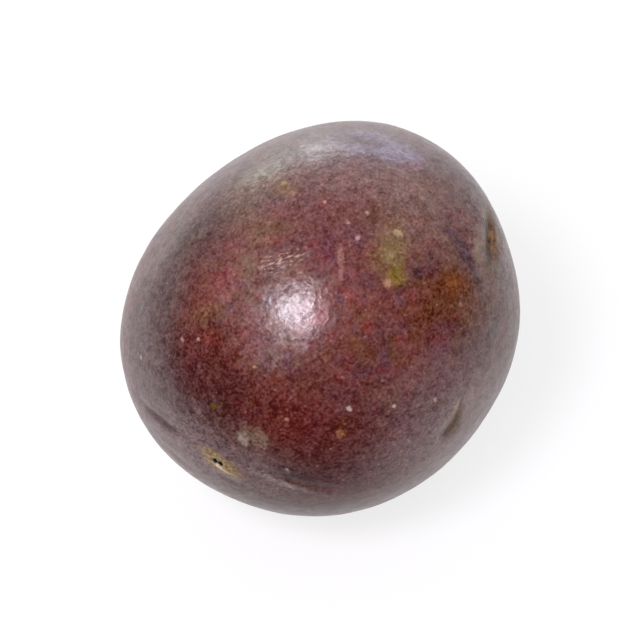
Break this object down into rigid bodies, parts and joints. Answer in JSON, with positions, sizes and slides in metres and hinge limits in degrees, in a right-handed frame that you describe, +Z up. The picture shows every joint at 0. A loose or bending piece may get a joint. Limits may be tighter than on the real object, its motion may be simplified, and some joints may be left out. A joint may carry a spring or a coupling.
{
  "type": "purple passion fruit",
  "caption": "Whole purple passion fruit, a slightly bent egg of leathery rind with a corky stem scar and a puckered blossom end, lying on its side on a small flat spot.",
  "frame": {"origin": "middle of the fruit's outline seen from above, at the height of the surface it lies on", "axes": "+Z up; the long axis leans out of the XY plane, its blossom end towards +X and up, its stem end towards -X and -Y, low down"},
  "size_m": [0.056, 0.054, 0.0523],
  "materials": {
    "rind": "satin"
  },
  "bodies": {
    "root": {"fruit": "rind"}
  },
  "joints": []
}
